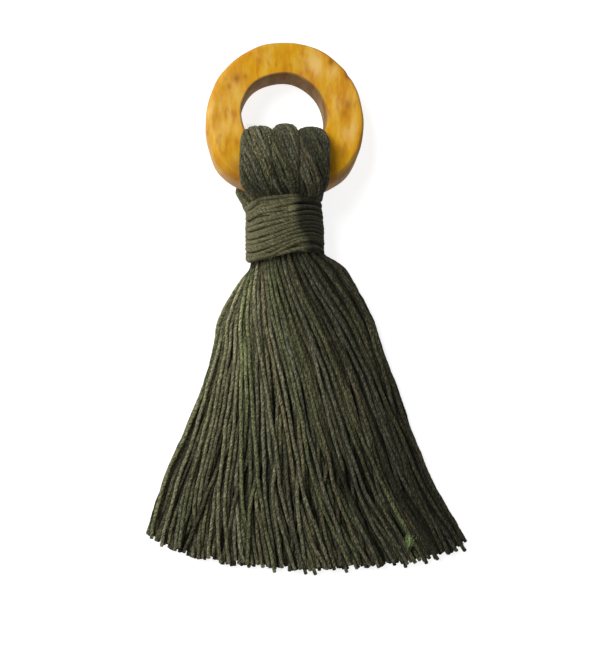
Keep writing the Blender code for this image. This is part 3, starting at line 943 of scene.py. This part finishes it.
def make_yarns(material, rng):
    """Yarns that run from hem to hem over the ring, an outer and an inner piece for each hank."""
    groups = share_out(neck_places())
    skirt, hem_places = skirt_routes(np.vstack([places for hank in groups for places in hank]), rng)
    longest = np.argmin(np.abs(skirt[-1, :, 0] - STRAY_END_X) + 2 * (skirt[-1, :, 3] < 0.6))
    lit_over_bar = 0.25 + 0.75 * np.hypot(*disc_places().T) ** 2
    start = 0
    for hank, (front_places, back_places) in zip(HANKS, groups):
        loop = loop_routes(hank, rng)
        front_at = np.arange(start, start + YARNS_PER_HANK)
        back_at = front_at + YARNS_PER_HANK
        start += 2 * YARNS_PER_HANK
        front = front_at[match(loop[0][:, [0, 2]], front_places)]
        back = back_at[match(loop[-1][:, [0, 2]], back_places)]
        strands = []
        for k, pair in enumerate(zip(front, back)):
            over_bar = np.column_stack([loop[:, k], np.full(len(loop), lit_over_bar[k])])
            longer = [STRAY_END_LENGTH if index == longest else 0.0 for index in pair]
            ends = [trimmed(skirt[:, index], extra, rng) for index, extra in zip(pair, longer)]
            strands.append(whole_yarn(over_bar, ends, [hem_places[index] for index in pair], rng))
        outer, node = LOOP_RINGS[0].yarns, "hank_" + hank.name
        for part, group in (("outer", strands[:outer]), ("inner", strands[outer:])):
            add_piece(strands_mesh("yarn_" + hank.name + "_" + part, group), material, node)
        hairs = fuzz_hairs(strands, HAIRS_PER_HANK, rng)
        add_piece(hairs_mesh("fuzz_" + hank.name, hairs), material, node)
        if hank.name == "right":
            add_piece(hairs_mesh("tuft", tuft_hairs(rng)), material, node)


# ---- loose fibres

Hair = namedtuple("Hair", "points radius dye")


def fuzz_hairs(strands, count, rng):
    """Short fibres that stand off the yarns wherever light reaches them."""
    hairs = []
    while len(hairs) < count:
        strand = strands[rng.integers(len(strands))]
        at = rng.integers(2, len(strand.points) - 3)
        if strand.dye[at].sum() < LEAST_LIT:
            continue
        along = strand.points[at + 1] - strand.points[at - 1]
        along /= np.linalg.norm(along) * rng.choice((-1, 1))
        out = np.cross(along, rng.normal(size=3))
        out /= np.linalg.norm(out)
        out[2] = abs(out[2])
        length = rng.uniform(1.2, 4.2)
        lift = rng.uniform(0.05, 0.30)
        sway = np.cross(along, out) * rng.uniform(-0.5, 0.5)
        base = strand.points[at] + out * strand.radii[at] * 0.85
        t = np.array([0, 0.33, 0.7, 1.0])[:, None]
        points = base + length * (along * t + out * lift * t ** 0.8 + sway * t ** 2)
        points[:, 2] = np.maximum(points[:, 2], 0.05)
        hairs.append(Hair(points, HAIR_RADIUS, strand.dye[at] * rng.uniform(0.9, 1.5)))
    return hairs


def tuft_hairs(rng):
    """The small pale tangle of fibre caught near the hem."""
    hairs = []
    for _ in range(TUFT_HAIRS):
        ball = rng.normal(size=3) * 0.42
        middle = np.array(TUFT) + ball * TUFT_SIZE
        way = rng.normal(size=3) * (0.6, 1.0, 0.5)
        bend = rng.normal(size=3) * 0.5
        t = np.array([-1, -0.3, 0.4, 1.0])[:, None]
        points = middle + (way * t + bend * t ** 2) * rng.uniform(0.3, 0.75)
        points[:, 2] = np.maximum(points[:, 2], 0.1)
        hairs.append(Hair(points, TUFT_HAIR_RADIUS, PALE_GREEN * rng.uniform(0.6, 1.3)))
    return hairs


def hairs_mesh(name, hairs):
    """Three-sided hairs, closed at the root and drawn to a point, as one mesh."""
    verts, faces = [], []
    n = len(HAIR_ANGLES)
    for hair in hairs:
        start = len(verts)
        way = hair.points[-1] - hair.points[0]
        side = np.cross(way, (0.3, 0.2, 1.0))
        side /= np.linalg.norm(side)
        up = np.cross(way, side)
        up /= np.linalg.norm(up)
        for point, size in zip(hair.points[:-1], HAIR_TAPER):
            for angle in HAIR_ANGLES:
                verts.append(point + hair.radius * size * (cos(angle) * side + sin(angle) * up))
        verts.append(hair.points[-1])
        faces.append(tuple(range(start, start + n)))
        for low in (start, start + n):
            for i in range(n):
                j = (i + 1) % n
                faces.append((low + j, low + i, low + n + i, low + n + j))
        last = start + 2 * n
        for i in range(n):
            faces.append((last + (i + 1) % n, last + i, last + n))
    mesh = bpy.data.meshes.new(name)
    mesh.from_pydata(to_world(np.array(verts)).tolist(), [], faces)
    # the hairs' colours, with the painted shade they take from their yarn
    dyes_and_shade = np.array([hair.dye for hair in hairs])
    add_attribute(mesh, "dye", np.repeat(dyes_and_shade, len(verts) // len(hairs), axis=0))
    add_attribute(mesh, "fibre", (0.0, YARN_RADIUS, 0.0) + np.array(verts) * (1.0, 0.02, 0.02))
    return mesh


# ---- the binding

def cord_route(rng):
    """One cord wound tightly down the neck, then wound back up over itself on the slant."""
    top = BINDING_TOP + CORD_RISE - CORD_RADIUS
    foot = BINDING_FOOT - CORD_DROP + CORD_RADIUS
    turns = UNDER_TURNS + OVER_TURNS
    t = np.arange(0, turns + 1e-6, 1 / POINTS_PER_TURN)
    angle = pi * 0.8 - TURN * t
    over = clamp((t - UNDER_TURNS) * 4)
    down = clamp(t / UNDER_TURNS)
    up = clamp((t - UNDER_TURNS) / OVER_TURNS)
    level = down - up
    knots = np.arange(0, turns + 1, 0.25)
    wobble = np.interp(t, knots, rng.normal(0, 1, len(knots)))
    tension = np.interp(t, knots[::4], rng.uniform(0.3, 1.7, len(knots[::4])))
    half_x = UNDER_HALF[0] + (OVER_HALF[0] - UNDER_HALF[0]) * over
    half_z = UNDER_HALF[1] + (OVER_HALF[1] - UNDER_HALF[1]) * over
    x = (half_x + CORD_WOBBLE[0] * wobble) * np.cos(angle)
    z = NECK_HEIGHT + (half_z + CORD_WOBBLE[0] * wobble) * np.sin(angle)
    slip = clamp((4.0 - x) / 16.0) ** 1.3
    slant = WRAP_SLANT * over * tension * np.clip(1.5 - 1.1 * up, 0.4, 1) * x * np.sin(angle).clip(-0.3, 1)
    y = top + (foot - top) * level + slant
    y = np.clip(y, foot, top) - FOOT_SLIDE * level ** 1.5 * slip + CORD_WOBBLE[1] * wobble
    y -= LEFT_DROP * (1 - level) ** 2 * clamp((-x - 7.5) / 4)
    x *= 1 - 0.08 * clamp(y / 8) * (x > 0)
    return resample(np.stack([x, y, np.maximum(z, CORD_RADIUS)], axis=1), CORD_STEP)


def cord_shade(points, rng):
    """The cord's colour at each point: painted shade from the middle to the right, painted light on the
    left, and one pale place.
    """
    x, y = points[:, 0], points[:, 1]
    shade = (1 + 0.12 * slow_noise(1, len(points), 30, rng)[0]) * CORD_SHADE
    # painted shade from the middle to the right
    dark_from = 2.4 + 3.0 * clamp((-1 - y) / 4)
    shade *= 1 - (1 - CORD_RIGHT_SHADE) * clamp((x - dark_from) / 2.5)
    # painted light on the left, painted shade just right of it
    shade *= 1 + 0.10 * clamp((-x - 4) / 5) - 0.10 * clamp((x + 4) / 3)
    shade *= 1 + 0.9 * np.exp(-((x - 2.0) / 0.8) ** 2 - ((y - 3.8) / 1.6) ** 2)
    return shade[:, None]


def make_binding(material, rng):
    """The wound cord and the fibres that stand off it."""
    points, run = cord_route(rng)
    uneven = 1 + YARN_UNEVEN * slow_noise(1, len(points), len(points) / 10, rng)[0]
    uneven *= 1 + 0.22 * clamp((-points[:, 0] - 5) / 4)  # the turns close up on the left
    strand = Strand(points, run, CORD_RADIUS * uneven, OLIVE * cord_shade(points, rng))
    hairs = fuzz_hairs([strand], CORD_HAIRS, rng)
    add_piece(strands_mesh("binding_cord", [strand], CORD_PLY_PITCH), material, "binding")
    add_piece(hairs_mesh("fuzz_binding", hairs), material, "binding")


# ---- the ring

def near_marks(x, y, marks):
    """How strongly each point is covered by the marks, 0 to 1."""
    total = np.zeros_like(x)
    for mark in marks:
        angle = radians(mark.angle)
        gap = np.hypot(x - mark.radius * cos(angle), (y - mark.radius * sin(angle)) * 0.7)
        total = np.maximum(total, mark.strength * np.exp(-(gap / mark.size) ** 2 * 1.6))
    return total


def ring_outline(angles):
    """The outer radius all round: not quite round, with a flat left by the saw."""
    outer = RING_RADIUS - 0.10 + 0.10 * np.cos(5 * angles + 1.0)
    outer += 0.08 * np.cos(9 * angles + 2.2) + 0.04 * np.cos(17 * angles)
    for bulge in BULGES + [SAW_FLAT]:
        away = (np.degrees(angles) - bulge.angle + 180) % 360 - 180
        outer += bulge.rise * np.exp(-(away / bulge.spread) ** 2)
    return outer


def ring_bore(angles):
    """The radius of the hole all round, which sits a little off the middle."""
    bore = RING_HOLE_RADIUS + 0.30 + 0.12 * np.cos(2 * angles + 2.0) + 0.09 * np.cos(5 * angles)
    bore += 0.06 * np.cos(8 * angles + 1.0)
    return bore + (HOLE_OFFSET[0] * np.cos(angles) + HOLE_OFFSET[1] * np.sin(angles))


def ring_columns(angles):
    """Radius, height, and how unvarnished the wood is with painted shade, in columns from the front edge
    round the section.
    """
    outer, bore = ring_outline(angles), ring_bore(angles)
    low_right = np.exp(-((np.degrees(angles) - 316) / 24) ** 2)
    wear = 2.0 + 0.8 * np.cos(angles - radians(195)) + 1.3 * low_right
    # painted shade: the outer wall is darker to the right and lower right, and painted light keeps it paler
    # on the left
    wall_bare_and_shade = 0.42 - 0.34 * np.cos(angles - radians(175)) + 0.25 * low_right
    half, back, lip, rim = RING_THICKNESS / 2, BACK_ROUNDING, BORE_BACK_ROUNDING, BORE_FRONT_ROUNDING
    level = np.ones(len(angles))
    columns = []
    for a in np.radians(np.linspace(66, 0, 6)):
        rise = half + wear * (sin(a) - 0.95)
        columns.append((outer - wear + wear * cos(a), rise, wall_bare_and_shade * cos(a)))

    def add_arc(centre, middle, size, bareness_and_shade, degrees):
        for a in np.radians(degrees):
            columns.append((centre + size * cos(a), (middle + size * sin(a)) * level, bareness_and_shade))

    add_arc(outer - back, back - half, back, wall_bare_and_shade, (0, -30, -60, -90))
    columns.append((bore + lip, -half * level, level))
    add_arc(bore + lip, lip - half, lip, level, (-112, -135, -158, -180))
    add_arc(bore + rim, half - rim, rim, 0.85 * level, (180, 155, 128, 105))
    face_in, face_out = bore + 0.75, outer - wear * 0.66
    for share in np.linspace(0, 1, 14):
        columns.append((face_in + (face_out - face_in) * share, half * level, 0.0 * level))
    return [np.array([column[k] for column in columns]).T for k in range(3)]


def ring_faces(steps, columns):
    """Quads round the ring and round its section."""
    ring = np.arange(steps)[:, None] * columns
    along = (np.arange(steps)[:, None] + 1) % steps * columns
    column, after = np.arange(columns)[None, :], (np.arange(columns)[None, :] + 1) % columns
    return np.stack([ring + column, ring + after, along + after, along + column], axis=2).reshape(-1, 4)


def make_ring(material):
    """The hand-finished hoop, its front edge worn back unevenly and nicked in one place."""
    angles = TURN * np.arange(RING_STEPS) / RING_STEPS
    radius, height, bare_and_shade = ring_columns(angles)
    half = RING_THICKNESS / 2
    x, y = radius * np.cos(angles)[:, None], radius * np.sin(angles)[:, None]
    nick = near_marks(x, y, [NICK])
    front = clamp((height + half) / half - 1)
    height -= 0.8 * nick * front
    height += 0.10 * np.sin(x * 0.45 + 1) * np.cos(y * 0.35) * front
    shrink = 1 - 0.025 * nick
    local = np.stack([x * shrink, y * shrink, height], axis=2).reshape(-1, 3)
    local = local @ RING_LEAN.T + RING_CENTRE
    local[:, 2] = np.maximum(local[:, 2], 0)
    mesh = bpy.data.meshes.new("wooden_ring")
    mesh.from_pydata(to_world(local).tolist(), [], ring_faces(*radius.shape).tolist())
    # unvarnished wood, with painted shade on the outer wall
    add_attribute(mesh, "bare_and_shade", bare_and_shade.ravel())
    add_attribute(mesh, "stain", near_marks(x, y, STAINS).ravel())
    add_attribute(mesh, "worn", near_marks(x, y, WORN).ravel())
    add_piece(mesh, material, "ring")
    mesh.set_sharp_from_angle(angle=radians(40))


# ---- camera, light and floor

def make_camera():
    """Almost straight above, leaning a little towards the hem."""
    data = bpy.data.cameras.new("camera")
    data.sensor_width = SENSOR
    data.lens = LENS
    data.clip_start = 0.01
    camera = add_object("camera", data)
    off_axis = Vector((0, -sin(CAMERA_LEAN), cos(CAMERA_LEAN)))
    camera.location = Vector(LOOK_AT) + off_axis * CAMERA_DISTANCE
    camera.rotation_euler = (CAMERA_LEAN, 0, 0)
    bpy.context.scene.camera = camera


def area_light(name, place, size, power, colour):
    """A round soft light aimed at the tassel."""
    data = bpy.data.lights.new(name, "AREA")
    data.shape = "DISK"
    data.size = size
    data.energy = power
    data.color = colour
    lamp = add_object(name, data)
    lamp.location = place
    lamp.rotation_euler = Vector(place).to_track_quat("Z", "Y").to_euler()


def make_floor():
    """A plain pale floor just under the tassel."""
    mesh = bpy.data.meshes.new("floor")
    corners = [(-1, -1), (1, -1), (1, 1), (-1, 1)]
    mesh.from_pydata([(x * FLOOR_HALF, y * FLOOR_HALF, 0) for x, y in corners], [], [(0, 1, 2, 3)])
    mesh.materials.append(floor_material())
    floor = add_object("floor", mesh)
    floor.location.z = -FLOOR_DROP


def make_stage():
    """The floor, a key light from the upper left, a weak fill from above, and a pale sky."""
    make_floor()
    area_light("key", (-0.48, 0.38, 0.78), 0.60, 8.8, (1.0, 0.99, 0.97))
    area_light("fill", (0.1, -0.2, 1.2), 0.9, 0.8, (0.98, 0.99, 1.0))
    world = bpy.data.worlds.new("studio")
    world.use_nodes = True
    sky = world.node_tree.nodes["Background"]
    sky.inputs["Color"].default_value = (1.0, 1.0, 1.0, 1.0)
    sky.inputs["Strength"].default_value = 0.20
    bpy.context.scene.world = world
    bpy.context.scene.view_settings.view_transform = "Standard"


def main():
    make_camera()
    make_stage()
    yarn = yarn_material("dyed_yarn", 0.86, 1.0)
    cord = yarn_material("binding_yarn", 0.95, 0.75)
    make_ring(wood_material())
    rng = np.random.default_rng(SEED)
    make_yarns(yarn, rng)
    make_binding(cord, rng)


main()
